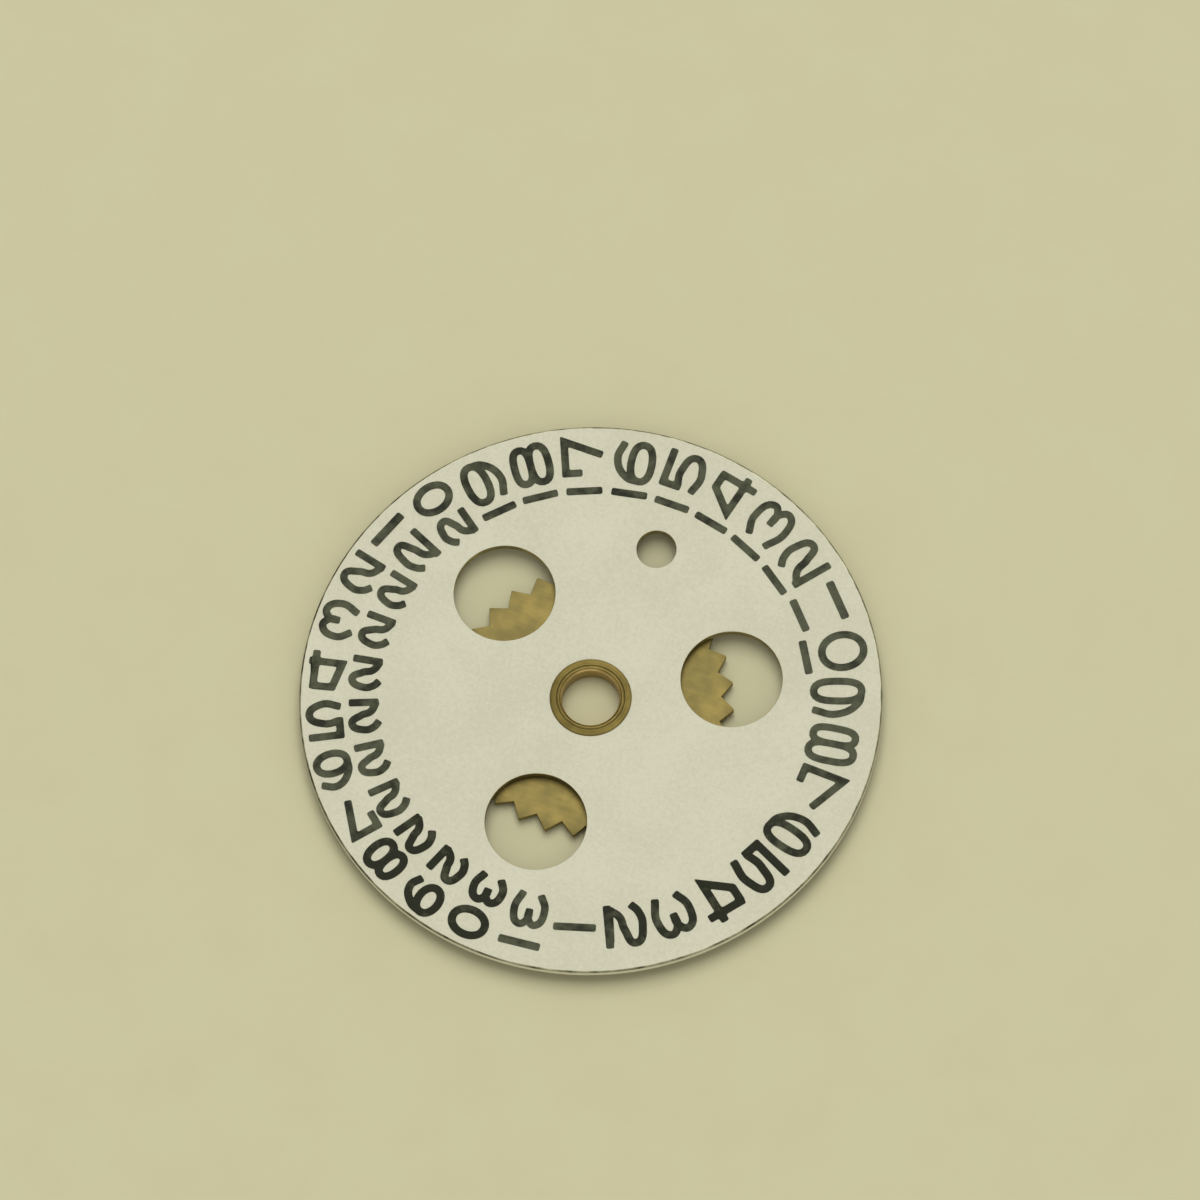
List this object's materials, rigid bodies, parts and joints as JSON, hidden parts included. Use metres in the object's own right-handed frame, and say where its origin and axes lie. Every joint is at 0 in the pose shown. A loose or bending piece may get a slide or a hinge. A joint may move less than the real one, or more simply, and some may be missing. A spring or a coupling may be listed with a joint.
{
  "type": "watch date disc",
  "caption": "Thin lacquered date disc with round windows, a V-toothed star wheel under it and a riveted brass hub with a running bore.",
  "frame": {"origin": "on the bore's axis at the underside of the hub's foot, which is the centre of the base of the whole assembly", "axes": "+Z along the bore's axis towards the printed face, +Y through the index hole, +X to its right seen from the printed face"},
  "size_m": [0.022, 0.022, 0.0009],
  "materials": {
    "lacquered_plate": "silver-white dial lacquer, satin, fine grain",
    "stamped_brass": "stamped, satin, lightly aged",
    "turned_brass": "turned and riveted, lightly aged",
    "printing_ink": "matt pad-printed ink"
  },
  "bodies": {
    "root": {"date_disc": "lacquered_plate", "star_wheel": "stamped_brass", "hub_pipe": "turned_brass"}
  },
  "joints": []
}
